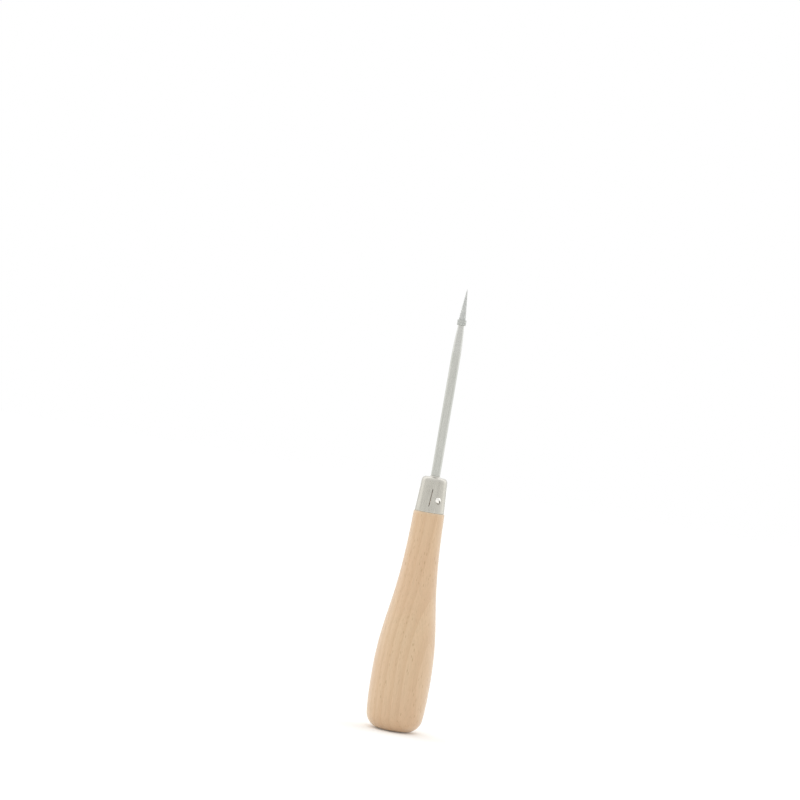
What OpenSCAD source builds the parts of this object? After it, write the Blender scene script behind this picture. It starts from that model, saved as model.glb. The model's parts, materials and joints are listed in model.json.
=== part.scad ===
// Tapered awl with a turned wooden handle, a pinned ferrule and a push-on point guard.
// It stands on its butt: the origin is the centre of the butt face, and +Z runs up to the point.
// The side with the slit and the pin faces -Y. Lengths are in millimetres, and angles in degrees.

/* [Handle] */
// Length from the butt to the shoulder that the ferrule sits on
handle_length = 79; // [65:0.5:110]
// Diameter at the belly, the fullest place
belly_d = 21.4; // [17:0.1:28]
// Height of the belly above the butt
belly_z = 19; // [14:0.5:28]
// Amount that the side draws in from the belly to the edge of the butt
heel_draw = 0.6; // [0.3:0.1:1.5]
// Radius of the rounded edge of the butt
butt_edge_r = 5.8; // [4:0.1:7]
// Diameter at the shoulder
shoulder_d = 11.2; // [9:0.1:14]

/* [Ferrule] */
// Height of the pressed cap, without its lip
ferrule_length = 12.7; // [10:0.1:18]
// Thickness of the pressed sheet
ferrule_wall = 0.6; // [0.4:0.05:0.9]
// Radius of the rounded top edge
ferrule_edge_r = 1.5; // [1:0.1:2]
// Lean of the side wall towards the axis
ferrule_taper = 3.5; // [1:0.5:6]
// Set-back of the lower edge from the handle's shoulder
ferrule_step = 0.3; // [0.05:0.05:0.4]
// Height of the lip that the blade's shoulder bears on
lip_height = 0.4; // [0.2:0.1:0.8]
// Width of the lip that shows round the shank
lip_width = 0.2; // [0.1:0.05:0.4]
// Length of the lanced slit in the wall
slit_length = 6.4; // [4:0.1:8]
// Width of the slit
slit_width = 0.25; // [0.2:0.05:0.6]

/* [Ferrule pin] */
// Diameter of the domed head
pin_head_d = 2.2; // [1.6:0.1:2.6]
// Height of the dome
pin_head_height = 0.7; // [0.4:0.05:0.9]
// Diameter of the pin's shank
pin_d = 1.1; // [0.8:0.1:1.4]
// Wood left between the pin and the bore for the tang
pin_backing = 0.7; // [0.4:0.1:1.2]

/* [Blade] */
// Diameter of the round shank
shank_d = 3.3; // [2.4:0.1:4]
// Length of the round shank above the ferrule
shank_length = 43.9; // [30:0.1:60]
// Length of the taper from the shank to the point
point_length = 21.6; // [16:0.1:30]
// Diameter of the blunt end of the point
point_tip_d = 0.16; // [0.1:0.02:0.3]
// Width of the shoulder where the shank steps down to the tang
tang_shoulder = 0.3; // [0.2:0.05:0.5]
// Depth of the tang below the handle's shoulder
tang_length = 45; // [30:1:58]
// Width across the two wings pressed out of the tang
wing_span = 4.2; // [3.4:0.1:5.5]
// Thickness of the wings
wing_thickness = 1; // [0.7:0.1:1.4]
// Length of the wings along the tang
wing_length = 9; // [6:0.5:12]

/* [Point guard] */
// Length of the point that the guard covers
guard_cover = 10.8; // [9:0.1:15]
// Thickness of the sleeve
guard_wall = 0.22; // [0.2:0.02:0.5]
// Height of the rim round the mouth
guard_rim_height = 2; // [1.2:0.1:3]
// Thickness of the rim
guard_rim_wall = 0.45; // [0.4:0.05:0.8]
// Height of the solid nose past the blade's point
guard_nose = 2.4; // [1:0.1:3]

/* [Hidden] */
$fn = 96;

// Clearances of the fits, and the length by which cuts run past the faces that they open
spigot_fit = 0.05;
tang_fit = 0.05;
pin_fit = 0.04;
guard_fit = 0.06;
overrun = 1;

// Directions round the axis: the front, and how far the slit and the pin are turned from it
front_angle = -90;
slit_turn = -4.2;
pin_turn = 28;
// Lean of the slit from the line up the wall
slit_slant = 4;
// Heights of the middle of the slit and of the pin, as shares of the ferrule's height
slit_height_share = 0.42;
pin_height_share = 0.38;

// Lean of the side where the butt's rounded edge ends, and lean of the neck at the shoulder
heel_lean = 7;
neck_lean = 1;
// How far the side keeps its direction past the heel, the belly and the neck, as shares of its rise there
heel_hold_share = 0.3;
belly_hold_share = 0.38;
neck_hold_share = 0.6;
// Faces along each curve
edge_steps = 10;
heel_steps = 8;
side_steps = 30;
point_steps = 16;
round_steps = 6;

// Handle
belly_r = belly_d / 2;
shoulder_r = shoulder_d / 2;
heel_r = belly_r - heel_draw;
butt_flat_r = heel_r - butt_edge_r * cos(heel_lean);
heel_z = butt_edge_r * (1 - sin(heel_lean));
heel_hold = heel_hold_share * (belly_z - heel_z);
belly_hold = belly_hold_share * (handle_length - belly_z);
neck_hold = neck_hold_share * (handle_length - belly_z);

// Ferrule: its wall leans in by the taper, and its rounded edge has one centre for every inset
ferrule_base_r = shoulder_r - ferrule_step;
ferrule_top_z = handle_length + ferrule_length;
edge_z = ferrule_top_z - ferrule_edge_r;
edge_lean = (edge_z - handle_length) * tan(ferrule_taper);
edge_r = ferrule_base_r - edge_lean - ferrule_edge_r / cos(ferrule_taper);
least_edge_r = 0.1;
lip_top_z = ferrule_top_z + lip_height;
slit_z = handle_length + slit_height_share * ferrule_length;
pin_z = handle_length + pin_height_share * ferrule_length;

// Blade
shank_r = shank_d / 2;
point_tip_r = point_tip_d / 2;
tang_r = shank_r - tang_shoulder;
lip_r = shank_r + lip_width;
tang_bore_r = tang_r + tang_fit;
tang_end_z = handle_length - tang_length;
tang_chamfer = tang_r / 2;
tang_end_gap = 1;
wing_rise = 12;
shank_end_z = lip_top_z + shank_length;
point_z = shank_end_z + point_length;
// Power of the taper's curve: 1 is a straight cone, and more is fuller
point_fullness = 1.5;

// Pin: the wall's radius at its height, the seat that takes the flat under its head, and its depth
pin_wall_r = ferrule_base_r - (pin_z - handle_length) * tan(ferrule_taper);
pin_head_r = pin_head_d / 2;
pin_r = pin_d / 2;
pin_seat_r = pin_head_r + pin_fit;
pin_seat = pin_wall_r - sqrt(pow(pin_wall_r, 2) - pow(pin_seat_r, 2));
pin_dome_r = (pow(pin_head_r, 2) + pow(pin_head_height, 2)) / (2 * pin_head_height);
pin_depth = pin_wall_r - tang_bore_r - pin_backing;
pin_point = pin_d;

// Point guard
guard_z = point_z - guard_cover;
guard_rim_z = guard_z + guard_rim_height;
guard_rim_r = blade_radius(guard_z) + guard_fit + guard_rim_wall;
guard_rim_edge = guard_rim_wall / 4;

// Point at share t of a curve from a to d that leaves a towards b and reaches d from c
function curve_point(a, b, c, d, t) =
    pow(1 - t, 3) * a + 3 * pow(1 - t, 2) * t * b + 3 * (1 - t) * pow(t, 2) * c + pow(t, 3) * d;

// Points of that curve, without its first point
function curve(a, b, c, d, steps) = [for (i = [1:steps]) curve_point(a, b, c, d, i / steps)];

// Points of an arc about centre, with both ends
function arc(centre, r, from, to, steps) =
    [for (a = spread(from, to, steps)) centre + r * [cos(a), sin(a)]];

// Radius of the blade at height z, from the shank's end to the point
function blade_radius(z) =
    let (t = max(0, (z - shank_end_z) / point_length))
    point_tip_r + (shank_r - point_tip_r) * (1 - pow(t, point_fullness));

// Values from one to another in equal steps, with both ends
function spread(from, to, steps) = [for (i = [0:steps]) from + (to - from) * i / steps];

// Solid inside the ferrule's skin, moved inwards by inset
module ferrule_core(inset) {
    corner_r = max(ferrule_edge_r - inset, least_edge_r);
    rotate_extrude()
        polygon(concat(
            [[0, handle_length], [ferrule_base_r - inset / cos(ferrule_taper), handle_length]],
            arc([edge_r, edge_z], corner_r, ferrule_taper, 90, round_steps),
            [[0, edge_z + corner_r]]));
}

// Frame on the ferrule's wall: local Z points out of the wall, and local -X runs up it
module on_wall(angle, z) {
    wall_r = ferrule_base_r - (z - handle_length) * tan(ferrule_taper);
    rotate([0, 0, angle])
        translate([wall_r, 0, z])
            rotate([0, 90 - ferrule_taper, 0])
                children();
}

// Shank and point of the pin below its head, with its sides moved outwards by grow
module pin_shank(grow) {
    straight = pin_depth - pin_point;
    translate([0, 0, -straight])
        cylinder(h = straight - pin_seat, r = pin_r + grow);
    translate([0, 0, -pin_depth - grow])
        cylinder(h = pin_point + grow, r1 = 0, r2 = pin_r + grow);
}

// Wings of the tang, with their faces moved outwards by grow
module wings(grow) {
    translate([0, 0, tang_end_z + wing_rise])
        cube([wing_span + 2 * grow, wing_thickness + 2 * grow, wing_length + 2 * grow], center = true);
}

// Turned handle with a spigot for the ferrule and a bore for the tang
module handle() {
    bore_z = tang_end_z - tang_end_gap;
    color([0.82, 0.71, 0.57])
        difference() {
            union() {
                rotate_extrude()
                    polygon(concat(
                        [[0, 0]],
                        arc([butt_flat_r, butt_edge_r], butt_edge_r, -90, -heel_lean, edge_steps),
                        curve(
                            [heel_r, heel_z],
                            [heel_r + heel_hold * tan(heel_lean), heel_z + heel_hold],
                            [belly_r, belly_z - heel_hold],
                            [belly_r, belly_z],
                            heel_steps),
                        curve(
                            [belly_r, belly_z],
                            [belly_r, belly_z + belly_hold],
                            [shoulder_r + neck_hold * tan(neck_lean), handle_length - neck_hold],
                            [shoulder_r, handle_length - ferrule_step],
                            side_steps),
                        [[ferrule_base_r, handle_length], [0, handle_length]]));
                ferrule_core(ferrule_wall + spigot_fit);
            }
            translate([0, 0, bore_z])
                cylinder(h = ferrule_top_z - bore_z, r = tang_bore_r);
            translate([0, 0, bore_z - tang_bore_r])
                cylinder(h = tang_bore_r, r1 = 0, r2 = tang_bore_r);
            wings(tang_fit);
            on_wall(front_angle + pin_turn, pin_z)
                pin_shank(pin_fit);
        }
}

// Pressed cap over the spigot, with a lip for the blade, a lanced slit and a seat for the pin
module ferrule() {
    color([0.77, 0.76, 0.73])
        difference() {
            union() {
                ferrule_core(0);
                translate([0, 0, ferrule_top_z - ferrule_wall])
                    cylinder(h = ferrule_wall + lip_height, r = lip_r);
            }
            ferrule_core(ferrule_wall);
            translate([0, 0, edge_z - overrun])
                cylinder(h = lip_top_z - edge_z + 2 * overrun, r = tang_bore_r);
            on_wall(front_angle + slit_turn, slit_z)
                rotate([0, 0, -slit_slant])
                    cube([slit_length, slit_width, 2 * (ferrule_wall + spigot_fit)], center = true);
            on_wall(front_angle + pin_turn, pin_z) {
                pin_shank(pin_fit);
                translate([0, 0, -pin_seat])
                    cylinder(h = pin_seat + overrun, r = pin_seat_r);
            }
        }
}

// Short brad: a domed head on the ferrule and a pointed shank in the wood
module ferrule_pin() {
    color([0.9, 0.89, 0.86])
        on_wall(front_angle + pin_turn, pin_z) {
            pin_shank(0);
            translate([0, 0, -pin_seat])
                intersection() {
                    cylinder(h = pin_head_height, r = pin_head_r);
                    translate([0, 0, pin_head_height - pin_dome_r])
                        sphere(r = pin_dome_r);
                }
        }
}

// One-piece blade: winged tang, shoulder, round shank and tapered point
module blade() {
    color([0.74, 0.75, 0.72])
        union() {
            rotate_extrude()
                polygon(concat(
                    [[0, tang_end_z], [tang_r - tang_chamfer, tang_end_z]],
                    [[tang_r, tang_end_z + tang_chamfer], [tang_r, lip_top_z], [shank_r, lip_top_z]],
                    [for (z = spread(shank_end_z, point_z, point_steps)) [blade_radius(z), z]],
                    [[0, point_z]]));
            wings(0);
        }
}

// Thin sleeve that follows the point, with a thicker rim at its mouth and a nose that draws in to a tip
module tip_guard() {
    skin = guard_fit + guard_wall;
    nose_r = point_tip_r + skin;
    turn_r = guard_rim_r - guard_rim_edge;
    nose_shares = [for (i = [1:round_steps]) i / round_steps];
    color([0.78, 0.79, 0.78])
        rotate_extrude()
            polygon(concat(
                [for (z = spread(point_z, guard_z, point_steps)) [blade_radius(z) + guard_fit, z]],
                arc([turn_r, guard_z + guard_rim_edge], guard_rim_edge, -90, 0, round_steps),
                arc([turn_r, guard_rim_z - guard_rim_edge], guard_rim_edge, 0, 90, round_steps),
                [for (z = spread(guard_rim_z, point_z, point_steps)) [blade_radius(z) + skin, z]],
                [for (t = nose_shares) [nose_r * (1 - (t + t * t) / 2), point_z + guard_nose * t]],
                [[0, point_z + guard_fit], [point_tip_r + guard_fit, point_z + guard_fit]]));
}

handle();
ferrule();
ferrule_pin();
blade();
tip_guard();
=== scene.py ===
"""Tapered awl with a turned beech handle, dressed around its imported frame.

The tool stands on its butt at the origin, with +Z up to the point and its front towards -Y.
Lengths are in metres and angles in degrees, unless a name ends in _mm or _px. Sizes come from
the frame's boxes and mounts where these give them.
"""
from __future__ import annotations

import json
import logging
import math
from dataclasses import dataclass
from enum import Enum
from typing import Any

import bpy
from mathutils import Matrix, Vector


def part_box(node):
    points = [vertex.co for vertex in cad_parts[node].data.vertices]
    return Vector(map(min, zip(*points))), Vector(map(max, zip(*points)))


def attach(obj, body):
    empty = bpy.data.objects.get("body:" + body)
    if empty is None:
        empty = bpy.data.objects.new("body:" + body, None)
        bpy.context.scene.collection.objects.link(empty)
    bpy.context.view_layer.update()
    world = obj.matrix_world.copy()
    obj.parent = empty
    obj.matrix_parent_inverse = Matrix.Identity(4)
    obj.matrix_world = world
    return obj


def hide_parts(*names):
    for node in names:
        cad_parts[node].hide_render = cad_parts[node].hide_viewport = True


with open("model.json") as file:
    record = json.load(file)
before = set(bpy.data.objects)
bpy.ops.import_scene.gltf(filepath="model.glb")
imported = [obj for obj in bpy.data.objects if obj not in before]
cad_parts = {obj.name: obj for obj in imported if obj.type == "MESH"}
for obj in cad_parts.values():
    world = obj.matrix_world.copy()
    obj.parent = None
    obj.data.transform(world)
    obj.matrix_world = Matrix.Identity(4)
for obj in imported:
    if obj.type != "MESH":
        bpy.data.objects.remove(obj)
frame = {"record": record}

log = logging.getLogger("awl")

MM = 0.001
MERGE_DISTANCE = 0.002 * MM
SMOOTH_ANGLE = 32
# Share of a normal along +Z from which a face looks up
UPWARD = 0.5
PLUG_FACES = 48
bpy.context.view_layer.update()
MOUNTS = {mount["name"]: mount["dims"] for mount in frame["record"]["mounts"]}

# Places of a Mix node's sockets: its factor, then both ends and the result for colours, and the
# same for numbers
MIX_FACTOR = 0
MIX_A, MIX_B, MIX_RESULT = 6, 7, 2
MIX_FROM, MIX_TO, MIX_NUMBER = 2, 3, 0
# Pairs of inputs that take the two ends of a range
FROM = ("From Min", "From Max")
TO = ("To Min", "To Max")

WHITE = (1.0, 1.0, 1.0, 1.0)
# Pattern sizes that leave coordinates in plain millimetres
IN_MM = (1.0, 1.0, 1.0)
# Values that are taken for the darkest and the lightest of a noise texture
NOISE_SPAN = (0.3, 0.7)

Tree = bpy.types.NodeTree
Socket = bpy.types.NodeSocket
Material = bpy.types.Material
Object = bpy.types.Object
# A node's values by input, or by pair of inputs
Inputs = dict[str | int | tuple[str, str], Any]
# Linear red, green, blue and alpha
Colour = tuple[float, float, float, float]
# Lengths along X, Y and Z
Sizes = tuple[float, float, float]
# The two ends of a range
Span = tuple[float, float]
# A point of an outline is its distance from the axis and its height
Point = tuple[float, float]
Outline = list[Point]


class Body(str, Enum):
    """The rigid bodies that pieces ride on."""

    TOOL = "tool"
    GUARD = "guard"


class Node(str, Enum):
    """The frame's nodes, whose names are also the record's material slots."""

    HANDLE = "handle"
    FERRULE = "ferrule"
    PIN = "ferrule_pin"
    BLADE = "blade"
    GUARD = "tip_guard"


class Join(str, Enum):
    """Ways to combine a piece with another shape."""

    CUT = "DIFFERENCE"
    WELD = "UNION"


def linear(hex_code: str) -> Colour:
    """Turn an sRGB hex colour into a linear one.

    Args:
        hex_code: The colour as "#RRGGBB".

    Returns:
        The linear colour, with an alpha of 1.
    """
    parts = [int(hex_code[i:i + 2], 16) / 255 for i in (1, 3, 5)]
    red, green, blue = (c / 12.92 if c <= 0.04045 else ((c + 0.055) / 1.055) ** 2.4 for c in parts)
    return red, green, blue, 1.0


def add_node(
    tree: Tree, kind: str, inputs: Inputs | None = None, output: str | int = 0, **settings: Any
) -> Socket | None:
    """Add a node, set it up and link it.

    Args:
        tree: The node tree that gets the node.
        kind: The node's type name, without the prefix that all of them have.
        inputs: Values by input name or place, or pairs of values by pairs of names. A socket is
            linked, and anything else is set.
        output: Name or place of the wanted output.
        settings: Properties of the node itself.

    Returns:
        That output, or None from a node that has no outputs.
    """
    node = tree.nodes.new("ShaderNode" + kind)
    for name, value in settings.items():
        setattr(node, name, value)
    for key, given in (inputs or {}).items():
        for place, value in zip(key, given) if isinstance(key, tuple) else [(key, given)]:
            if isinstance(value, Socket):
                tree.links.new(value, node.inputs[place])
            else:
                node.inputs[place].default_value = value
    return node.outputs[output] if node.outputs else None


def scaled_coords(tree: Tree, sizes_mm: Sizes) -> Socket:
    """Give Object coordinates in which a pattern of unit size has real sizes.

    Args:
        tree: The material's tree.
        sizes_mm: Size of the pattern along X, Y and Z.

    Returns:
        The coordinates.
    """
    coords = add_node(tree, "TexCoord", output="Object")
    scale = tuple(1 / (size * MM) for size in sizes_mm)
    return add_node(tree, "Mapping", {"Vector": coords, "Scale": scale})


def pattern(tree: Tree, kind: str, sizes_mm: Sizes, **inputs: float) -> Socket:
    """Add a texture whose cells have real sizes.

    Args:
        tree: The material's tree.
        kind: The texture's type name.
        sizes_mm: Size of a cell along X, Y and Z.
        inputs: The texture's other inputs.

    Returns:
        The texture's value.
    """
    coords = scaled_coords(tree, sizes_mm)
    return add_node(tree, kind, {"Vector": coords, "Scale": 1.0, **inputs})


def height_share(tree: Tree, start_mm: float, end_mm: float) -> Socket:
    """Give a share that changes evenly with the height on the tool.

    Args:
        tree: The material's tree.
        start_mm: Height at which it is 0, and beyond which it stays so.
        end_mm: Height at which it reaches 1, above or below the start.

    Returns:
        The share.
    """
    height = add_node(tree, "SeparateXYZ", {"Vector": scaled_coords(tree, IN_MM)}, output="Z")
    return add_node(tree, "MapRange", {"Value": height, FROM: (start_mm, end_mm)})


def layered(tree: Tree, base: Colour | Socket, *layers: tuple[Socket, str]) -> Socket:
    """Lay colours over each other, each by its own share.

    Args:
        tree: The material's tree.
        base: The lowest colour.
        layers: Share and sRGB hex colour of each layer, from the lowest up.

    Returns:
        The colour that shows.
    """
    colour = base
    for share, over in layers:
        inputs = {MIX_FACTOR: share, MIX_A: colour, MIX_B: linear(over)}
        colour = add_node(tree, "Mix", inputs, output=MIX_RESULT, data_type="RGBA")
    return colour


def shaded_by(tree: Tree, colour: Socket, noise: Socket, strength: float) -> Socket:
    """Let a noise texture darken and lighten a colour.

    Args:
        tree: The material's tree.
        colour: The colour to shade.
        noise: The texture's value.
        strength: Largest change, as a share of the colour.

    Returns:
        The shaded colour.
    """
    factor = add_node(
        tree, "MapRange", {"Value": noise, FROM: NOISE_SPAN, TO: (1 - strength, 1 + strength)}
    )
    return add_node(tree, "VectorMath", {0: colour, "Scale": factor}, operation="SCALE")


def seen(tree: Tree) -> Socket:
    """Tell rays that show the background from rays that light the tool.

    Args:
        tree: The tree that needs it.

    Returns:
        1 for what the camera sees, also by reflection or through plastic, and 0 for the rest.
    """
    share = add_node(tree, "LightPath", output="Is Camera Ray")
    for name in ("Is Glossy Ray", "Is Transmission Ray"):
        other = add_node(tree, "LightPath", output=name)
        share = add_node(tree, "Math", {0: share, 1: other}, operation="MAXIMUM")
    return share


def deselect() -> None:
    """Leave nothing selected and no object active."""
    if bpy.context.object and bpy.context.object.mode != "OBJECT":
        bpy.ops.object.mode_set(mode="OBJECT")
    bpy.ops.object.select_all(action="DESELECT")
    bpy.context.view_layer.objects.active = None


def take(piece: Object) -> None:
    """Make one object the only selected and active one.

    Args:
        piece: The object.
    """
    deselect()
    piece.select_set(True)
    bpy.context.view_layer.objects.active = piece


def edit_top(shape: Object) -> None:
    """Go into edit mode with only a block's upper face selected.

    Args:
        shape: The block.
    """
    take(shape)
    bpy.ops.object.mode_set(mode="EDIT")
    bpy.ops.mesh.select_mode(type="FACE")
    bpy.ops.mesh.select_all(action="DESELECT")
    bpy.ops.object.mode_set(mode="OBJECT")
    for face in shape.data.polygons:
        face.select = face.normal.z > UPWARD
    bpy.ops.object.mode_set(mode="EDIT")


def spread(start: float, end: float, steps: int) -> list[float]:
    """Values from start to end in equal steps, with both ends."""
    return [start + (end - start) * i / steps for i in range(steps + 1)]


def arc(centre: Point, radius: float, start: float, end: float, steps: int) -> Outline:
    """Points of an arc in an outline, with both ends.

    Args:
        centre: The arc's centre.
        radius: Its radius.
        start: Angle of the first point, from straight outwards.
        end: Angle of the last point.
        steps: Number of stretches.

    Returns:
        The points, from start to end.
    """
    turns = [math.radians(turn) for turn in spread(start, end, steps)]
    return [(centre[0] + radius * math.cos(a), centre[1] + radius * math.sin(a)) for a in turns]


def curve(a: Point, b: Point, c: Point, d: Point, steps: int) -> Outline:
    """Points of a smooth curve in an outline, without its first point.

    Args:
        a: The start.
        b: The point that the curve leaves a towards.
        c: The point that it reaches d from.
        d: The end.
        steps: Number of stretches.

    Returns:
        The points, from the first after a to d.
    """
    points = []
    for t in spread(0.0, 1.0, steps)[1:]:
        shares = ((1 - t) ** 3, 3 * (1 - t) ** 2 * t, 3 * (1 - t) * t ** 2, t ** 3)
        points.append(tuple(sum(s * p[k] for s, p in zip(shares, (a, b, c, d))) for k in (0, 1)))
    return points


def between(a: Point, b: Point, steps: int) -> Outline:
    """Points that divide a straight stretch of an outline, without its ends.

    Args:
        a: The stretch's start.
        b: Its end.
        steps: Number of parts.

    Returns:
        The points, from a to b.
    """
    return list(zip(spread(a[0], b[0], steps), spread(a[1], b[1], steps)))[1:-1]


def turned(name: str, outline: Outline, segments: int, material: Material) -> Object:
    """Draw an outline point by point and turn it once round the Z axis, as on a lathe.

    Args:
        name: Name of the new object.
        outline: Its points, in order. Ends on the axis become poles, and an end on the start
            makes a ring.
        segments: Number of faces round the axis.
        material: Its finish.

    Returns:
        The new object, closed.
    """
    deselect()
    bpy.ops.mesh.primitive_plane_add(size=MM)
    piece = bpy.context.object
    piece.name = piece.data.name = name
    bpy.ops.object.mode_set(mode="EDIT")
    bpy.ops.mesh.select_mode(type="VERT")
    bpy.ops.mesh.select_all(action="SELECT")
    bpy.ops.mesh.merge(type="CENTER")
    bpy.ops.transform.translate(value=(outline[0][0], 0, outline[0][1]))
    for (r0, z0), (r1, z1) in zip(outline, outline[1:]):
        bpy.ops.mesh.extrude_region_move(TRANSFORM_OT_translate={"value": (r1 - r0, 0, z1 - z0)})
    bpy.ops.mesh.select_all(action="SELECT")
    bpy.ops.mesh.spin(steps=segments, angle=math.tau, center=(0, 0, 0), axis=(0, 0, 1))
    bpy.ops.mesh.select_all(action="SELECT")
    bpy.ops.mesh.remove_doubles(threshold=MERGE_DISTANCE)
    bpy.ops.mesh.normals_make_consistent(inside=False)
    bpy.ops.object.mode_set(mode="OBJECT")
    piece.data.materials.append(material)
    return piece


def block(size: Sizes, centre: Sizes = (0, 0, 0)) -> Object:
    """Add a block that a piece is cut by or welded to.

    Args:
        size: Its lengths along X, Y and Z.
        centre: Its middle.

    Returns:
        The block, with its place in its mesh.
    """
    deselect()
    bpy.ops.mesh.primitive_cube_add(size=1, location=centre)
    shape = bpy.context.object
    shape.scale = size
    bpy.ops.object.transform_apply(location=True, scale=True)
    return shape


def plug(radius: float, low: float, high: float) -> Object:
    """Add a round plug along Z that a piece is cut by.

    Args:
        radius: Its radius.
        low: Height of its lower end.
        high: Height of its upper end.

    Returns:
        The plug, with its place in its mesh.
    """
    deselect()
    bpy.ops.mesh.primitive_cylinder_add(
        vertices=PLUG_FACES, radius=radius, depth=high - low, location=(0, 0, (high + low) / 2)
    )
    shape = bpy.context.object
    bpy.ops.object.transform_apply(location=True)
    return shape


def combine(piece: Object, shape: Object, join: Join) -> None:
    """Cut a shape out of a piece, or weld it on, clean the seam and delete the shape.

    Args:
        piece: The piece that changes.
        shape: The other shape. If it has a finish, its faces keep that.
        join: What is done.
    """
    take(piece)
    step = piece.modifiers.new(join.name.lower(), "BOOLEAN")
    step.object = shape
    step.operation = join.value
    step.solver = "EXACT"
    step.material_mode = "TRANSFER" if shape.data.materials else "INDEX"
    bpy.ops.object.modifier_apply(modifier=step.name)
    bpy.data.objects.remove(shape)
    bpy.ops.object.mode_set(mode="EDIT")
    bpy.ops.mesh.select_all(action="SELECT")
    bpy.ops.mesh.dissolve_degenerate(threshold=MERGE_DISTANCE)
    bpy.ops.object.mode_set(mode="OBJECT")


def hand_over(piece: Object, body: Body, node: Node) -> None:
    """Put a piece's place into its mesh, smooth it, and let it stand for its node.

    Args:
        piece: The finished piece.
        body: The body that it moves with.
        node: The node that it replaces and hides, whose name is also a material slot in the record.
    """
    take(piece)
    bpy.ops.object.transform_apply(location=True, rotation=True, scale=True)
    bpy.ops.object.shade_smooth_by_angle(angle=math.radians(SMOOTH_ANGLE))
    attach(piece, body.value)
    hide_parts(node.value)
    log.info("%s: %d faces, on body %s", piece.name, len(piece.data.polygons), body.value)


@dataclass(frozen=True)
class Finish:
    """What a surface is made of, and how it was worked."""

    name: str

    def make(self) -> Material:
        """Build the material.

        Returns:
            The finished material.
        """
        material = bpy.data.materials.new(self.name)
        material.use_nodes = True
        tree = material.node_tree
        tree.nodes.clear()
        shader = add_node(tree, "BsdfPrincipled", self.surface(tree))
        add_node(tree, "OutputMaterial", {"Surface": shader})
        return material

    def surface(self, tree: Tree) -> Inputs:
        """The shader's inputs, which each kind of finish works out in its own way."""
        raise NotImplementedError


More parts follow.
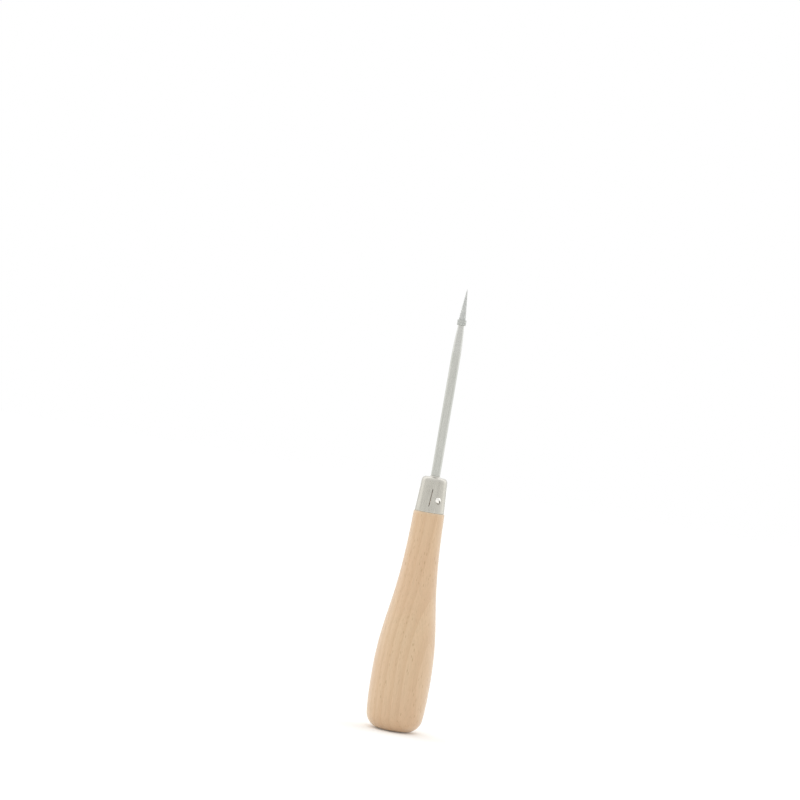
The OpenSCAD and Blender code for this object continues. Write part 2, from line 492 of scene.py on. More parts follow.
@dataclass(frozen=True)
class LacqueredBeech(Finish):
    """Steamed beech, turned, sanded and dipped in a thin satin lacquer."""

    name: str = "beech_turned_satin_lacquer"
    early_wood: str = "#E0C5A1"
    late_wood: str = "#D8BA95"
    blush: str = "#DAB592"
    fleck: str = "#AE875E"
    bare: str = "#E0CAAC"
    # The pith's place beside the handle, along X and Y
    pith_mm: tuple[float, float] = (-31.0, 22.0)
    ring_mm: float = 2.6
    # Where early wood starts to darken in a year's layer, and where it is all late wood
    late_from: Span = (0.25, 0.97)
    wander_mm: float = 2.2
    wander_size_mm: Sizes = (9.0, 9.0, 60.0)
    blush_mm: Sizes = (26.0, 26.0, 26.0)
    # Beech fibres are finer than a pixel, so they are drawn as bundles this wide and long
    fibre_mm: Sizes = (0.35, 0.35, 16.0)
    fibre_span: Span = (0.2, 0.8)
    fibre_shade: float = 0.04
    grain_depth_mm: float = 0.012
    # A fleck is full up to the first share of its cell, and ends at the second
    fleck_mm: Sizes = (0.75, 0.75, 3.4)
    fleck_edge: Span = (0.14, 0.24)
    fleck_share: float = 0.5
    # Flecks come in clusters, and those outside a cluster are faint
    cluster_mm: Sizes = (6.0, 6.0, 18.0)
    cluster_edge: Span = (0.4, 0.62)
    stray_share: float = 0.15
    # The pores are finer still, so they are drawn at several times their width
    pore_mm: Sizes = (0.2, 0.2, 2.6)
    pore_edge: Span = (0.56, 0.68)
    pore_share: float = 0.16
    shoulder_mm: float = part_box(Node.FERRULE.value)[0].z / MM
    shoulder_wear_mm: float = 0.9
    butt_wear_mm: float = 0.5
    wear_edge: Span = (0.3, 0.6)
    wear_share: Span = (0.35, 0.85)
    roughness: Span = (0.38, 0.5)
    ior: float = 1.5
    specular: float = 0.2
    lacquer: float = 0.75
    lacquer_roughness: float = 0.25
    lacquer_ior: float = 1.52

    def surface(self, tree: Tree) -> Inputs:
        """Work out the lacquered wood.

        Args:
            tree: The material's tree.

        Returns:
            The shader's inputs.
        """
        # The eye gets a pale tan with faint growth rings, long fibres, fine pores and short brown
        # ray flecks, under a soft sheen that whitens towards the sides, and bare wood where the
        # edges are rubbed
        fibres = pattern(tree, "TexNoise", self.fibre_mm, Detail=3.0, Roughness=0.6)
        roughness = add_node(
            tree, "MapRange", {"Value": fibres, FROM: self.fibre_span, TO: self.roughness}
        )
        bump = add_node(
            tree, "Bump", {"Height": fibres, "Distance": self.grain_depth_mm * MM, "Strength": 1.0}
        )
        return {
            "Base Color": self.colour(tree, fibres), "Roughness": roughness, "Normal": bump,
            "IOR": self.ior, "Specular IOR Level": self.specular, "Coat Weight": self.lacquer,
            "Coat Roughness": self.lacquer_roughness, "Coat IOR": self.lacquer_ior,
        }

    def colour(self, tree: Tree, fibres: Socket) -> Socket:
        """Lay the wood's colours over each other.

        Args:
            tree: The material's tree.
            fibres: Noise of the long fibres.

        Returns:
            The colour.
        """
        rings = self.growth_rings(tree)
        patches = pattern(tree, "TexNoise", self.blush_mm, Detail=2.0)
        early = linear(self.early_wood)
        wood = layered(tree, early, (rings, self.late_wood), (patches, self.blush))
        streaked = shaded_by(tree, wood, fibres, self.fibre_shade)
        marks = add_node(
            tree, "Math", {0: self.ray_flecks(tree), 1: self.pores(tree)}, operation="MAXIMUM"
        )
        worn = self.edge_wear(tree, fibres)
        return layered(tree, streaked, (marks, self.fleck), (worn, self.bare))

    def growth_rings(self, tree: Tree) -> Socket:
        """Year rings round a pith beside the handle, which the turned belly cuts into long arches.

        Args:
            tree: The material's tree.

        Returns:
            0 in early wood, rising to 1 at the end of each year's layer.
        """
        wander = pattern(tree, "TexNoise", self.wander_size_mm, Detail=2.0)
        from_pith = add_node(
            tree, "Mapping",
            {
                "Vector": scaled_coords(tree, IN_MM),
                "Location": (-self.pith_mm[0], -self.pith_mm[1], 0.0), "Scale": (1.0, 1.0, 0.0),
            },
        )
        distance = add_node(tree, "VectorMath", {0: from_pith}, output="Value", operation="LENGTH")
        wandered = add_node(
            tree, "Math", {0: wander, 1: self.wander_mm, 2: distance}, operation="MULTIPLY_ADD"
        )
        years = add_node(tree, "Math", {0: wandered, 1: self.ring_mm}, operation="DIVIDE")
        share = add_node(tree, "Math", {0: years}, operation="FRACT")
        return add_node(
            tree, "MapRange", {"Value": share, FROM: self.late_from},
            interpolation_type="SMOOTHSTEP",
        )

    def ray_flecks(self, tree: Tree) -> Socket:
        """Short spindles where the wood's rays come to the surface.

        Args:
            tree: The material's tree.

        Returns:
            The fleck colour's share, and 0 between flecks.
        """
        nearest = pattern(tree, "TexVoronoi", self.fleck_mm, Randomness=1.0)
        spindles = add_node(
            tree, "MapRange",
            {"Value": nearest, FROM: self.fleck_edge, TO: (self.fleck_share, 0.0)},
            interpolation_type="SMOOTHSTEP",
        )
        clusters = pattern(tree, "TexNoise", self.cluster_mm, Detail=1.0)
        presence = add_node(
            tree, "MapRange",
            {"Value": clusters, FROM: self.cluster_edge, TO: (self.stray_share, 1.0)},
        )
        return add_node(tree, "Math", {0: spindles, 1: presence}, operation="MULTIPLY")

    def pores(self, tree: Tree) -> Socket:
        """Open ends of the wood's vessels, as thin dashes along the grain.

        Args:
            tree: The material's tree.

        Returns:
            The fleck colour's share, and 0 between pores.
        """
        vessels = pattern(tree, "TexNoise", self.pore_mm, Detail=1.0)
        return add_node(
            tree, "MapRange", {"Value": vessels, FROM: self.pore_edge, TO: (0.0, self.pore_share)}
        )

    def edge_wear(self, tree: Tree, fibres: Socket) -> Socket:
        """Rubbed places on the butt and along the shoulder, and the bare spigot above it.

        Args:
            tree: The material's tree.
            fibres: Noise of the long fibres, which breaks up the wear.

        Returns:
            The bare wood's share, and 0 under sound lacquer.
        """
        top = height_share(tree, self.shoulder_mm - self.shoulder_wear_mm, self.shoulder_mm)
        foot = height_share(tree, self.butt_wear_mm, 0.0)
        edges = add_node(tree, "Math", {0: top, 1: foot}, operation="MAXIMUM")
        broken = add_node(
            tree, "MapRange", {"Value": fibres, FROM: self.wear_edge, TO: self.wear_share}
        )
        return add_node(tree, "Math", {0: edges, 1: broken}, operation="MULTIPLY")


@dataclass(frozen=True)
class WorkedMetal(Finish):
    """A metal with fine lines from how it was worked, and dull patches where it was handled."""

    colour: str
    dull: str
    roughness: float
    line_mm: Sizes
    line_depth_mm: float
    line_shade: float = 0.06
    line_span: Span = (0.25, 0.75)
    # Roughness in the smoothest and in the roughest lines, as shares of the mean
    line_roughness: Span = (0.8, 1.25)
    patch_mm: Sizes = (2.5, 2.5, 14.0)
    patch_edge: Span = (0.35, 0.75)

    def surface(self, tree: Tree) -> Inputs:
        """Work out the metal with its lines.

        Args:
            tree: The material's tree.

        Returns:
            The shader's inputs.
        """
        lines = self.lines(tree)
        limits = tuple(self.roughness * share for share in self.line_roughness)
        roughness = add_node(tree, "MapRange", {"Value": lines, FROM: self.line_span, TO: limits})
        bump = add_node(
            tree, "Bump", {"Height": lines, "Distance": self.line_depth_mm * MM, "Strength": 1.0}
        )
        colour = shaded_by(tree, self.tint(tree), lines, self.line_shade)
        return {"Base Color": colour, "Metallic": 1.0, "Roughness": roughness, "Normal": bump}

    def lines(self, tree: Tree) -> Socket:
        """Marks of the tool that worked the metal, as noise from 0 to 1."""
        return pattern(tree, "TexNoise", self.line_mm, Detail=3.0)

    def tint(self, tree: Tree) -> Socket:
        """The metal's colour with its dull patches.

        Args:
            tree: The material's tree.

        Returns:
            The colour.
        """
        patches = pattern(tree, "TexNoise", self.patch_mm, Detail=3.0)
        share = add_node(tree, "MapRange", {"Value": patches, FROM: self.patch_edge})
        return layered(tree, linear(self.colour), (share, self.dull))


@dataclass(frozen=True)
class GroundSteel(WorkedMetal):
    """Drawn wire, ground at its point while it turned, so it is brighter and lined round there."""

    ground: str = "#C4C4BF"
    ring_mm: Sizes = (6.0, 6.0, 0.22)
    ground_from_mm: float = 0.0
    ground_blend_mm: float = 2.0

    def ground_share(self, tree: Tree) -> Socket:
        """The ground surface's share, from 0 on the drawn wire to 1 on the point."""
        return height_share(tree, self.ground_from_mm, self.ground_from_mm + self.ground_blend_mm)

    def lines(self, tree: Tree) -> Socket:
        """Lines along the wire, and round it on the point.

        Args:
            tree: The material's tree.

        Returns:
            Noise from 0 to 1.
        """
        rings = pattern(tree, "TexNoise", self.ring_mm, Detail=3.0)
        drawn = super().lines(tree)
        inputs = {MIX_FACTOR: self.ground_share(tree), MIX_FROM: drawn, MIX_TO: rings}
        return add_node(tree, "Mix", inputs, output=MIX_NUMBER, data_type="FLOAT")

    def tint(self, tree: Tree) -> Socket:
        """The wire's colour, brighter on the ground point."""
        return layered(tree, super().tint(tree), (self.ground_share(tree), self.ground))


@dataclass(frozen=True)
class PressedNickel(WorkedMetal):
    """Nickel plate on a pressed cap: its rubbed top has a painted highlight, plus a painted shadow
    spot.
    """

    # Colour of the rubbed top edge, made lighter still as a painted highlight
    rubbed_and_highlit: str = "#D2CFC8"
    rubbed_highlit_mm: Span = (0.0, 1.0)
    # Colour of a painted shadow round one point
    painted_shadow: str = "#8E897F"
    painted_shadow_at_mm: Sizes = (0.0, 0.0, 0.0)
    # Distances up to which the painted shadow is even, and at which it ends
    painted_shadow_edge_mm: Span = (0.45, 0.75)

    def tint(self, tree: Tree) -> Socket:
        """The plate's colour with the painted shadow, and the rubbed edge with its painted
        highlight.

        Args:
            tree: The material's tree.

        Returns:
            The colour.
        """
        # Painted shadow: full near its point and fading out
        places = {0: scaled_coords(tree, IN_MM), 1: self.painted_shadow_at_mm}
        away = add_node(tree, "VectorMath", places, output="Value", operation="DISTANCE")
        shadowed = add_node(
            tree, "MapRange", {"Value": away, FROM: self.painted_shadow_edge_mm, TO: (1.0, 0.0)},
            interpolation_type="SMOOTHSTEP",
        )
        # The top edge's band, rubbed and with a painted highlight
        worn = height_share(tree, *self.rubbed_highlit_mm)
        return layered(tree, super().tint(tree), (shadowed, self.painted_shadow), (worn, self.rubbed_and_highlit))


@dataclass(frozen=True)
class MilkyPolyethylene(Finish):
    """Natural low-density polyethylene, moulded thin."""

    name: str = "polyethylene_natural_moulded"
    colour: str = "#E5E6E3"
    cloud: str = "#D9DBD8"
    cloud_mm: Sizes = (1.6, 1.6, 2.4)
    # Painted shade on the thick rim
    rim: str = "#D4D6D1"
    rim_top_mm: float = 0.0
    rim_blend_mm: float = 0.1
    roughness: Span = (0.3, 0.45)
    ior: float = 1.51
    transmission: float = 0.3

    def surface(self, tree: Tree) -> Inputs:
        """Work out the cloudy plastic.

        Args:
            tree: The material's tree.

        Returns:
            The shader's inputs.
        """
        # The eye gets a waxy, cloudy grey that lets the steel inside show as a soft core, and a
        # painted shade on the thick rim, where less light comes through
        clouds = pattern(tree, "TexNoise", self.cloud_mm, Detail=3.0)
        blend = self.rim_blend_mm
        # Share of the rim's painted shade
        rim_shade = height_share(tree, self.rim_top_mm + blend, self.rim_top_mm - blend)
        colour = layered(tree, linear(self.colour), (clouds, self.cloud), (rim_shade, self.rim))
        roughness = add_node(tree, "MapRange", {"Value": clouds, TO: self.roughness})
        return {
            "Base Color": colour, "Roughness": roughness, "IOR": self.ior,
            "Transmission Weight": self.transmission,
        }


@dataclass(frozen=True)
class StudioPaper(Finish):
    """Matt white paper under the tool."""

    name: str = "studio_floor_white"
    colour: str = "#F6F6F4"
    roughness: float = 0.9
    # Glow near the tool and far from it, and the distances between which it changes
    glow: Span = (0.1, 0.15)
    glow_reach: Span = (0.1, 0.5)

    def surface(self, tree: Tree) -> Inputs:
        """Work out the paper.

        Args:
            tree: The material's tree.

        Returns:
            The shader's inputs.
        """
        # The eye gets an even white that keeps the tool's shadow
        coords = add_node(tree, "TexCoord", output="Object")
        away = add_node(tree, "VectorMath", {0: coords}, output="Value", operation="LENGTH")
        glow = add_node(tree, "MapRange", {"Value": away, FROM: self.glow_reach, TO: self.glow})
        seen_glow = add_node(tree, "Math", {0: seen(tree), 1: glow}, operation="MULTIPLY")
        return {
            "Base Color": linear(self.colour), "Roughness": self.roughness,
            "Specular IOR Level": 0.0, "Emission Color": WHITE, "Emission Strength": seen_glow,
        }


# Sheared steel edge: matt raw steel where the plate stops at the cut, painted dark as the shade
# inside the narrow slit
SHADED_SLIT_EDGE = WorkedMetal(
    "steel_sheared_edge_painted_shade", "#7C7973", "#6B6862", 0.6, (0.1, 0.1, 0.4), 0.002
)
# Nickel plate on a brad: a small polished head that mirrors its surroundings, painted lighter than
# nickel as a highlight
HIGHLIT_NICKEL = WorkedMetal(
    "steel_brad_nickel_plate_painted_highlight", "#F2F0EB", "#E8E5DF", 0.12, (0.5, 0.5, 0.5), 0.0005,
    line_shade=0.02,
)
# Steel that a knock has bared: matt where the plate has flaked off, and painted dark as the shade
# in the dent
NICK_IN_PAINTED_SHADE = WorkedMetal(
    "steel_bared_by_a_knock_painted_shade", "#7E7A73", "#6E6A64", 0.5, (0.1, 0.1, 0.1), 0.001
)
# Burr on a pressed sheet: rubbed by whatever passes over the sheet, and painted bright as the
# highlight that its raised edges catch
HIGHLIT_BURR = WorkedMetal(
    "steel_burr_painted_highlight", "#CFCCC5", "#C2BFB8", 0.24, (0.3, 0.3, 3.0), 0.0006
)


@dataclass
class Blade:
    """One-piece blade: a winged tang in the handle, a shoulder, a round shank, a tapered point."""

    tang_end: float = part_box(Node.BLADE.value)[0].z
    point_z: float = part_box(Node.BLADE.value)[1].z
    wing_span: float = 2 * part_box(Node.BLADE.value)[1].x
    shoulder_z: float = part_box(Node.FERRULE.value)[1].z
    shank_r: float = MOUNTS["shank"]["r_mm"] * MM
    shank_length: float = MOUNTS["shank"]["length_mm"] * MM
    shoulder_ease: float = 0.08 * MM
    tang_shoulder: float = 0.3 * MM
    tang_fit: float = 0.05 * MM
    tip_r: float = 0.08 * MM
    # Power of the taper's curve: 1 is a straight cone, and more is fuller
    fullness: float = 1.5
    wing_thickness: float = 1 * MM
    wing_length: float = 9 * MM
    wing_rise: float = 12 * MM
    shank_steps: int = 12
    point_steps: int = 40
    segments: int = 72

    def finish(self) -> GroundSteel:
        """Choose the finish of drawn tool steel.

        Returns:
            The finish.
        """
        # The eye gets a neutral grey with lines along the wire, and round it on the brighter
        # point. They are drawn wider than they are so that they show
        return GroundSteel(
            "tool_steel_drawn_and_ground", "#C2C2BC", "#B6B7B1", 0.27, (0.18, 0.18, 9.0), 0.0005,
            ground_from_mm=self.taper_z() / MM,
        )

    def tang_r(self) -> float:
        """Radius of the tang."""
        return self.shank_r - self.tang_shoulder

    def bore_r(self) -> float:
        """Radius of the bores that the tang passes through."""
        return self.tang_r() + self.tang_fit

    def taper_z(self) -> float:
        """Height at which the shank ends and the point starts to taper."""
        return self.shoulder_z + self.shank_length

    def radius(self, z: float) -> float:
        """Radius of the shank and the point at a height above the shoulder."""
        t = max(0.0, (z - self.taper_z()) / (self.point_z - self.taper_z()))
        return self.tip_r + (self.shank_r - self.tip_r) * (1 - t ** self.fullness)

    def outline(self) -> Outline:
        """Work out the outline from the tang's end to the point.

        Returns:
            The outline's points.
        """
        tang_r = self.tang_r()
        chamfer = tang_r / 2
        eased = (self.shank_r, self.shoulder_z + self.shoulder_ease)
        heights = spread(self.taper_z(), self.point_z, self.point_steps)
        points = [(0.0, self.tang_end), (tang_r - chamfer, self.tang_end)]
        points += [(tang_r, self.tang_end + chamfer), (tang_r, self.shoulder_z)]
        points += [(self.shank_r - self.shoulder_ease, self.shoulder_z), eased]
        points += between(eased, (self.shank_r, self.taper_z()), self.shank_steps)
        return points + [(self.radius(z), z) for z in heights] + [(0.0, self.point_z)]

    def wings(self, grow: float) -> Object:
        """Make the bar whose ends are the tang's two flat wings.

        Args:
            grow: How far its faces are moved outwards.

        Returns:
            The bar, in place.
        """
        lengths = (self.wing_span, self.wing_thickness, self.wing_length)
        centre = (0, 0, self.tang_end + self.wing_rise)
        return block(tuple(length + 2 * grow for length in lengths), centre)

    def build(self) -> None:
        """Turn the blade, press its wings and hand it over."""
        piece = turned("steel_blade", self.outline(), self.segments, self.finish().make())
        combine(piece, self.wings(0.0), Join.WELD)
        hand_over(piece, Body.TOOL, Node.BLADE)


@dataclass
class Ferrule:
    """Pressed cap over the spigot, with a lip round the blade, a slit, and a seat for its pin."""

    blade: Blade
    base_z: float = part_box(Node.FERRULE.value)[0].z
    base_r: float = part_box(Node.FERRULE.value)[1].x
    lip_top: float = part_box(Node.FERRULE.value)[1].z
    lip_height: float = 0.4 * MM
    lip_width: float = 0.2 * MM
    lip_round: float = 0.15 * MM
    wall: float = 0.6 * MM
    edge_r: float = 1.5 * MM
    taper: float = 3.5
    mouth_round: float = 0.12 * MM
    slit_length: float = 6.4 * MM
    slit_width: float = 0.25 * MM
    slit_ease: float = 0.03 * MM
    slit_turn: float = -4.2
    slit_slant: float = 4
    slit_height_share: float = 0.42
    burr_width: float = 0.22 * MM
    burr_height: float = 0.07 * MM
    burr_round_share: float = 0.9
    pin_turn: float = 28
    pin_height_share: float = 0.38
    seat_r: float = 1.14 * MM
    pin_hole_r: float = 0.59 * MM
    # The painted shadow's place in the pin's frame on the wall, just below the pin's head
    painted_shadow_place: Sizes = (0.95 * MM, 0.2 * MM, 0.0)
    mouth_steps: int = 4
    wall_steps: int = 26
    edge_steps: int = 10
    lip_steps: int = 5
    burr_steps: int = 5
    segments: int = 160
    cut_finish: Finish = SHADED_SLIT_EDGE
    burr_finish: Finish = HIGHLIT_BURR

    def finish(self) -> PressedNickel:
        """Choose the finish of pressed steel under dull nickel plate.

        Returns:
            The finish.
        """
        # The eye gets a soft warm grey, rubbed bright with a painted highlight along the top, and a
        # little painted shadow below the pin's head. The press drew fine lines up the wall, here as
        # wide as it takes to show them
        return PressedNickel(
            "steel_pressed_nickel_plate", "#C3C0B7", "#B8B5AC", 0.28, (0.5, 0.5, 9.0), 0.0006,
            rubbed_highlit_mm=((self.top() - self.edge_r) / MM, self.top() / MM),
            painted_shadow_at_mm=tuple((self.pin_frame() @ Vector(self.painted_shadow_place)) / MM),
        )

    def top(self) -> float:
        """Height of the cap's flat top, under its lip."""
        return self.lip_top - self.lip_height

    def wall_r(self, z: float) -> float:
        """Outer radius of the straight wall at a height."""
        return self.base_r - (z - self.base_z) * math.tan(math.radians(self.taper))

    def at_share(self, share: float) -> float:
        """Height at a share of the cap's own height."""
        return self.base_z + share * (self.top() - self.base_z)

    def on_wall(self, turn: float, share: float) -> Matrix:
        """Frame on the wall, with local Z out of the wall and local -X up it.

        Args:
            turn: Angle from the front, to the right as seen from there.
            share: Height as a share of the cap's.

        Returns:
            The frame's matrix.
        """
        z = self.at_share(share)
        place = Matrix.Translation((self.wall_r(z), 0, z))
        tilt = Matrix.Rotation(math.radians(90 - self.taper), 4, "Y")
        return Matrix.Rotation(math.radians(turn - 90), 4, "Z") @ place @ tilt

    def pin_frame(self) -> Matrix:
        """Frame on the wall at the pin."""
        return self.on_wall(self.pin_turn, self.pin_height_share)

    def pin_wall_r(self) -> float:
        """Outer radius of the wall at the pin."""
        return self.wall_r(self.at_share(self.pin_height_share))

    def seat_depth(self) -> float:
        """Depth of the flat seat that the round wall leaves under the pin's head."""
        return self.pin_wall_r() - math.sqrt(self.pin_wall_r() ** 2 - self.seat_r ** 2)

    def slit_frame(self) -> Matrix:
        """Frame on the wall at the slit, with local X along it."""
        slant = Matrix.Rotation(math.radians(-self.slit_slant), 4, "Z")
        return self.on_wall(self.slit_turn, self.slit_height_share) @ slant

    def skin(self, inset: float) -> Outline:
        """Outline of the cap from its lower edge to its flat top, moved inwards.

        Args:
            inset: How far it is moved.

        Returns:
            The outline's points.
        """
        cos_taper = math.cos(math.radians(self.taper))
        edge_z = self.top() - self.edge_r
        centre = (self.wall_r(edge_z) - self.edge_r / cos_taper, edge_z)
        rounded = arc(centre, self.edge_r - inset, self.taper, 90, self.edge_steps)
        return [(self.base_r - inset / cos_taper, self.base_z)] + rounded

    def outline(self) -> Outline:
        """Work out the closed outline of the pressed sheet.

        Returns:
            The outline's points, ending on the first.
        """
        top = self.top()
        outer = self.skin(0.0)
        inner = self.skin(self.wall)
        mouth = (self.base_r - self.mouth_round, self.base_z + self.mouth_round)
        rolled = arc(mouth, self.mouth_round, -90, self.taper, self.mouth_steps)
        lip_r = self.blade.shank_r + self.lip_width
        lip_edge = (lip_r - self.lip_round, self.lip_top - self.lip_round)
        bore_r = self.blade.bore_r()
        points = [inner[0]] + rolled + between(rolled[-1], outer[1], self.wall_steps) + outer[1:]
        points += [(lip_r + self.lip_round / 2, top), (lip_r, top + self.lip_round / 2)]
        points += arc(lip_edge, self.lip_round, 0, 90, self.lip_steps)
        points += [(bore_r, self.lip_top), (bore_r, top - self.wall)]
        return points + inner[:0:-1] + between(inner[1], inner[0], self.wall_steps) + [inner[0]]

    def burr(self) -> Object:
        """Make the low ridge that the press raised along the slit.

        Returns:
            The ridge, in place.
        """
        length = self.slit_length + 2 * self.burr_width
        width = self.slit_width + 2 * self.burr_width
        rounding = self.burr_round_share * self.burr_width
        ridge = block((length, width, self.wall), (0, 0, self.burr_height - self.wall / 2))
        # The ridge's faces carry a painted highlight along the slit
        ridge.data.materials.append(self.burr_finish.make())
        edit_top(ridge)
        bpy.ops.mesh.bevel(offset=rounding, segments=self.burr_steps, affect="EDGES")
        bpy.ops.object.mode_set(mode="OBJECT")
        ridge.matrix_world = self.slit_frame()
        return ridge

    def slit(self) -> Object:
        """Make the bar that cuts the slit, wider outside so that the slit's edges are eased.

        Returns:
            The bar, in place.
        """
        depth = 3 * self.wall
        eased_from = self.burr_height - self.slit_ease
        widening = 1 + 2 * (depth / 2 - eased_from) / self.slit_width
        bar = block((self.slit_length, self.slit_width, depth))
        # The slit's walls take this painted shade
        bar.data.materials.append(self.cut_finish.make())
        take(bar)
        bpy.ops.object.mode_set(mode="EDIT")
        bpy.ops.mesh.select_all(action="SELECT")
        bpy.ops.mesh.bisect(plane_co=(0, 0, eased_from), plane_no=(0, 0, 1))
        edit_top(bar)
        bpy.ops.transform.resize(value=(1, widening, 1))
        bpy.ops.object.mode_set(mode="OBJECT")
        bar.matrix_world = self.slit_frame()
        return bar

    def build(self) -> None:
        """Press the cap, lance its slit, drill it for its pin and hand it over."""
        piece = turned("pressed_ferrule", self.outline(), self.segments, self.finish().make())
        combine(piece, self.burr(), Join.WELD)
        combine(piece, self.slit(), Join.CUT)
        seat = plug(self.seat_r, -self.seat_depth(), self.wall)
        hole = plug(self.pin_hole_r, -2 * self.wall, self.wall)
        for cutter in (seat, hole):
            cutter.matrix_world = self.pin_frame()
            combine(piece, cutter, Join.CUT)
        hand_over(piece, Body.TOOL, Node.FERRULE)


@dataclass
class FerrulePin:
    """Short brad through the ferrule: a domed head with a nick, a shank and a point in the wood."""

    ferrule: Ferrule
    head_r: float = 1.1 * MM
    head_height: float = 0.7 * MM
    rim: float = 0.08 * MM
    shank_r: float = 0.55 * MM
    point: float = 1.1 * MM
    backing: float = 0.7 * MM
    nick_reach: Sizes = (1.48 * MM, 0.3 * MM, 0.5 * MM)
    nick_depth: float = 0.22 * MM
    nick_lean: float = 30
    nick_turn: float = 40
    dome_steps: int = 14
    segments: int = 64
    # The head's colour holds a painted highlight
    finish: Finish = HIGHLIT_NICKEL
    # The nick is painted dark, as the shade in the dent
    nick_finish: Finish = NICK_IN_PAINTED_SHADE

    def depth(self) -> float:
        """Depth of the point below the ferrule's skin."""
        return self.ferrule.pin_wall_r() - self.ferrule.blade.bore_r() - self.backing

    def dome_r(self) -> float:
        """Radius of the head's dome."""
        rise = self.head_height - self.rim
        return (self.head_r ** 2 + rise ** 2) / (2 * rise)

    def dome_z(self) -> float:
        """Height of the dome's centre, in the wall's own frame."""
        return self.head_height - self.ferrule.seat_depth() - self.dome_r()

    def outline(self) -> Outline:
        """Work out the outline from the point to the crown of the head.

        Returns:
            The outline's points, in the wall's own frame.
        """
        seat = -self.ferrule.seat_depth()
        depth = self.depth()
        centre = (0.0, self.dome_z())
        rim_turn = 90 - math.degrees(math.asin(self.head_r / self.dome_r()))
        points = [(0.0, -depth), (self.shank_r, self.point - depth), (self.shank_r, seat)]
        points += [(self.head_r - self.rim / 2, seat), (self.head_r, seat + self.rim / 2)]
        return points + arc(centre, self.dome_r(), rim_turn, 90, self.dome_steps)

    def nick(self) -> Object:
        """Make the long ball that nicks the head, from near its crown out over its rim.

        Returns:
            The ball, in place.
        """
        deselect()
        bpy.ops.mesh.primitive_uv_sphere_add(
            segments=self.segments, ring_count=self.segments // 2, radius=1
        )
        ball = bpy.context.object
        ball.scale = self.nick_reach
        bpy.ops.object.transform_apply(scale=True)
        # The ball's faces pass the painted shade to the nick
        ball.data.materials.append(self.nick_finish.make())
        turn = Matrix.Rotation(math.radians(self.nick_turn), 4, "Z")
        lean = Matrix.Rotation(math.radians(self.nick_lean), 4, "Y")
        out = Matrix.Translation((0, 0, self.dome_r() + self.nick_reach[2] - self.nick_depth))
        ball.matrix_world = Matrix.Translation((0, 0, self.dome_z())) @ turn @ lean @ out
        return ball

    def build(self) -> None:
        """Turn the pin, nick its head, drive it into its seat and hand it over."""
        piece = turned("domed_ferrule_pin", self.outline(), self.segments, self.finish.make())
        combine(piece, self.nick(), Join.CUT)
        piece.matrix_world = self.ferrule.pin_frame()
        hand_over(piece, Body.TOOL, Node.PIN)


@dataclass
class Handle:
    """Turned handle: a flat butt, a full belly, a slim neck, and a spigot above its shoulder."""

    ferrule: Ferrule
    pin: FerrulePin
    belly_r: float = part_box(Node.HANDLE.value)[1].x
    belly_z: float = 19 * MM
    heel_draw: float = 0.6 * MM
    heel_lean: float = 7
    butt_edge_r: float = 5.8 * MM
    shoulder_step: float = 0.3 * MM
    neck_lean: float = 1
    # How far the side keeps its direction at the heel, at the belly and at the neck, as shares of
    # the rise from the heel to the belly, or from the belly to the shoulder
    heel_hold_share: float = 0.3
    belly_hold_share: float = 0.38
    neck_hold_share: float = 0.6
    spigot_fit: float = 0.05 * MM
    bore_end_gap: float = 1 * MM
    butt_steps: int = 4
    edge_steps: int = 18
    heel_steps: int = 14
    side_steps: int = 72
    shoulder_steps: int = 4
    segments: int = 160
    finish: Finish = LacqueredBeech()

    def side(self) -> Outline:
        """Work out the outside's outline, from the middle of the butt to the shoulder's ledge.

        Returns:
            The outline's points.
        """
        length = self.ferrule.base_z
        lean = math.radians(self.heel_lean)
        heel = (self.belly_r - self.heel_draw, self.butt_edge_r * (1 - math.sin(lean)))
        edge = (heel[0] - self.butt_edge_r * math.cos(lean), self.butt_edge_r)
        belly = (self.belly_r, self.belly_z)
        shoulder = (self.ferrule.base_r + self.shoulder_step, length - self.shoulder_step)
        ledge = (self.ferrule.base_r, shoulder[1])
        heel_hold = self.heel_hold_share * (self.belly_z - heel[1])
        belly_hold = self.belly_hold_share * (length - self.belly_z)
        neck_hold = self.neck_hold_share * (length - self.belly_z)
        neck_out = neck_hold * math.tan(math.radians(self.neck_lean))
        past_heel = (heel[0] + heel_hold * math.tan(lean), heel[1] + heel_hold)
        under_belly = (self.belly_r, self.belly_z - heel_hold)
        past_belly = (self.belly_r, self.belly_z + belly_hold)
        neck = (shoulder[0] + neck_out, length - neck_hold)
        points = [(0.0, 0.0)] + between((0.0, 0.0), (edge[0], 0.0), self.butt_steps)
        points += arc(edge, self.butt_edge_r, -90, -self.heel_lean, self.edge_steps)
        points += curve(heel, past_heel, under_belly, belly, self.heel_steps)
        points += curve(belly, past_belly, neck, shoulder, self.side_steps)
        return points + arc(ledge, self.shoulder_step, 0, 90, self.shoulder_steps)[1:]

    def outline(self) -> Outline:
        """Work out the whole outline: the outside, the spigot and the bore for the tang.

        Returns:
            The outline's points.
        """
        blade = self.ferrule.blade
        spigot = self.ferrule.skin(self.ferrule.wall + self.spigot_fit)
        bore_end = blade.tang_end - self.bore_end_gap
        bore = [(blade.bore_r(), spigot[-1][1]), (blade.bore_r(), bore_end)]
        return self.side() + spigot + bore + [(0.0, bore_end - blade.bore_r())]

    def build(self) -> None:
        """Turn the handle, cut the places for the tang's wings and the pin, and hand it over."""
        piece = turned("beech_handle", self.outline(), self.segments, self.finish.make())
        combine(piece, self.ferrule.blade.wings(self.ferrule.blade.tang_fit), Join.CUT)
        hole = plug(self.ferrule.pin_hole_r, -self.pin.depth(), 0.0)
        hole.matrix_world = self.ferrule.pin_frame()
        combine(piece, hole, Join.CUT)
        hand_over(piece, Body.TOOL, Node.HANDLE)


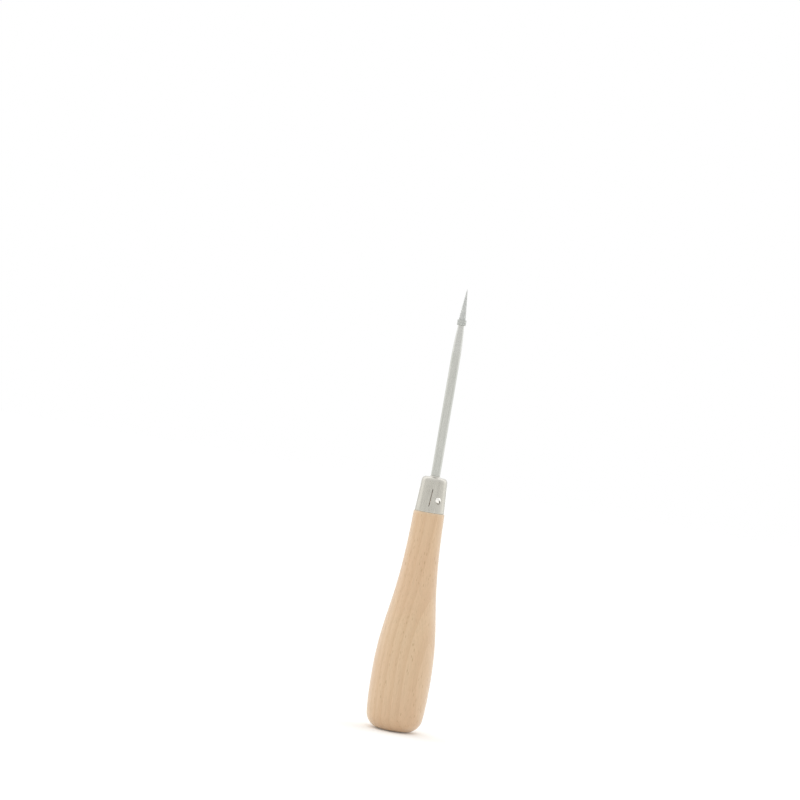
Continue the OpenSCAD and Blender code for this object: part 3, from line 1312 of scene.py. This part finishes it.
@dataclass
class PointGuard:
    """Thin sleeve over the point, with a thicker rim at its mouth and a nose drawn to a tip."""

    blade: Blade
    mouth_z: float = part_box(Node.GUARD.value)[0].z
    nose_z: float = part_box(Node.GUARD.value)[1].z
    rim_r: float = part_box(Node.GUARD.value)[1].x
    rim_height: float = 2 * MM
    rim_round: float = 0.11 * MM
    wall: float = 0.22 * MM
    fit: float = 0.06 * MM
    sleeve_steps: int = 24
    rim_steps: int = 5
    nose_steps: int = 12
    segments: int = 64

    def rim_top(self) -> float:
        """Height of the rim's upper edge."""
        return self.mouth_z + self.rim_height

    def finish(self) -> MilkyPolyethylene:
        """The guard's plastic, with its thick stretch at the rim."""
        return MilkyPolyethylene(rim_top_mm=self.rim_top() / MM)

    def outline(self) -> Outline:
        """Work out the outline down the inside, round the rim and up the outside to the tip.

        Returns:
            The outline's points, with both ends on the axis.
        """
        point_z = self.blade.point_z
        skin = self.fit + self.wall
        inside = spread(point_z, self.mouth_z, self.sleeve_steps)
        outside = spread(self.rim_top(), point_z, self.sleeve_steps)
        turn_r = self.rim_r - self.rim_round
        lower = (turn_r, self.mouth_z + self.rim_round)
        upper = (turn_r, self.rim_top() - self.rim_round)
        nose_r = self.blade.radius(point_z) + skin
        nose_length = self.nose_z - point_z
        points = [(0.0, point_z + self.fit), (self.blade.tip_r + self.fit, point_z + self.fit)]
        points += [(self.blade.radius(z) + self.fit, z) for z in inside]
        points += arc(lower, self.rim_round, -90, 0, self.rim_steps)
        points += arc(upper, self.rim_round, 0, 90, self.rim_steps)
        points += [(self.blade.radius(z) + skin, z) for z in outside]
        # The nose draws in along a line halfway between a cone's and a parabola's
        for t in spread(0.0, 1.0, self.nose_steps)[1:]:
            points.append((nose_r * (1 - (t + t * t) / 2), point_z + nose_length * t))
        return points

    def build(self) -> None:
        """Mould the guard and hand it over."""
        piece = turned("point_guard", self.outline(), self.segments, self.finish().make())
        hand_over(piece, Body.GUARD, Node.GUARD)


@dataclass(frozen=True)
class Softbox:
    """A rectangular studio light that faces the tool and stays out of reflections."""

    name: str
    place: Sizes
    width: float
    height: float
    radiance: float
    target: Sizes = (0.0, 0.0, 0.08)

    def build(self) -> None:
        """Hang the light and aim it."""
        deselect()
        bpy.ops.object.light_add(type="AREA", location=self.place)
        lamp = bpy.context.object
        lamp.name = self.name
        lamp.data.shape = "RECTANGLE"
        lamp.data.size = self.width
        lamp.data.size_y = self.height
        lamp.data.energy = self.radiance * math.pi * self.width * self.height
        aim = Vector(self.target) - Vector(self.place)
        lamp.rotation_euler = aim.to_track_quat("-Z", "Y").to_euler()
        lamp.visible_camera = False
        lamp.visible_glossy = False


@dataclass
class Studio:
    """White floor, white surroundings, a soft light, and the camera of the photograph."""

    floor_size: float = 6.0
    floor_finish: Finish = StudioPaper()
    front_light: float = 0.48
    side_light: float = 1.55
    back_share: float = 0.45
    # How far back a direction points, from -1 to 1: where the front's light ends and the sides'
    # starts, and where the sides' light starts to fall and is down to the back's share
    front_to_side: Span = (-0.55, 0.35)
    side_to_back: Span = (0.5, 1.0)
    softbox: Softbox = Softbox("key_softbox", (-0.15, -0.75, 0.95), 0.8, 0.8, 1.4)
    lens_mm: float = 120.0
    sensor_mm: float = 36.0
    image_px: int = 800
    # Where the tool's two ends are in the image, across and down
    butt_px: tuple[float, float] = (391.95, 729.8)
    tip_px: tuple[float, float] = (467.45, 289.1)
    tool_length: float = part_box(Node.GUARD.value)[1].z

    def build_floor(self) -> None:
        """Lay the floor."""
        deselect()
        bpy.ops.mesh.primitive_plane_add(size=self.floor_size)
        floor = bpy.context.object
        floor.name = "studio_floor"
        floor.data.materials.append(self.floor_finish.make())

    def build_surroundings(self) -> None:
        """Make surroundings that are white to the eye, and light the tool more from both sides."""
        world = bpy.data.worlds.new("white_studio")
        world.use_nodes = True
        tree = world.node_tree
        tree.nodes.clear()
        direction = add_node(tree, "TexCoord", output="Generated")
        backwards = add_node(tree, "SeparateXYZ", {"Vector": direction}, output="Y")
        front = add_node(
            tree, "MapRange",
            {"Value": backwards, FROM: self.front_to_side, TO: (self.front_light, self.side_light)},
        )
        back = add_node(
            tree, "MapRange",
            {"Value": backwards, FROM: self.side_to_back, TO: (1.0, self.back_share)},
        )
        light = add_node(tree, "Math", {0: front, 1: back}, operation="MULTIPLY")
        strength = add_node(tree, "Math", {0: seen(tree), 1: light}, operation="MAXIMUM")
        sky = add_node(tree, "Background", {"Color": WHITE, "Strength": strength})
        add_node(tree, "OutputWorld", {"Surface": sky})
        bpy.context.scene.world = world

    def build_camera(self) -> None:
        """Place the camera level with the image's middle, rolled so that the tool leans."""
        across = self.tip_px[0] - self.butt_px[0]
        up = self.butt_px[1] - self.tip_px[1]
        roll = math.atan2(across, up)
        scale = self.tool_length / math.hypot(across, up)
        middle = self.image_px / 2
        right_px = middle - self.butt_px[0]
        up_px = self.butt_px[1] - middle
        centre_x = (right_px * math.cos(roll) - up_px * math.sin(roll)) * scale
        centre_z = (right_px * math.sin(roll) + up_px * math.cos(roll)) * scale
        distance = self.image_px * scale * self.lens_mm / self.sensor_mm
        deselect()
        bpy.ops.object.camera_add(location=(centre_x, -distance, centre_z))
        camera = bpy.context.object
        camera.name = "photo_camera"
        camera.data.lens = self.lens_mm
        camera.data.sensor_width = self.sensor_mm
        camera.data.dof.use_dof = False
        level = Matrix.Rotation(math.radians(90), 4, "X")
        leaned = level @ Matrix.Rotation(roll, 4, "Z")
        camera.matrix_world = Matrix.Translation(camera.location) @ leaned
        bpy.context.scene.camera = camera

    def build(self) -> None:
        """Set up the camera, the floor, the surroundings and the light."""
        bpy.context.scene.view_settings.view_transform = "Standard"
        self.build_camera()
        self.build_floor()
        self.build_surroundings()
        self.softbox.build()


def main() -> None:
    """Build the studio and every piece of the tool, in order."""
    logging.basicConfig(level=logging.INFO, format="%(name)s: %(message)s")
    Studio().build()
    blade = Blade()
    ferrule = Ferrule(blade)
    pin = FerrulePin(ferrule)
    for piece in (Handle(ferrule, pin), ferrule, pin, blade, PointGuard(blade)):
        piece.build()


if __name__ == "__main__":
    main()
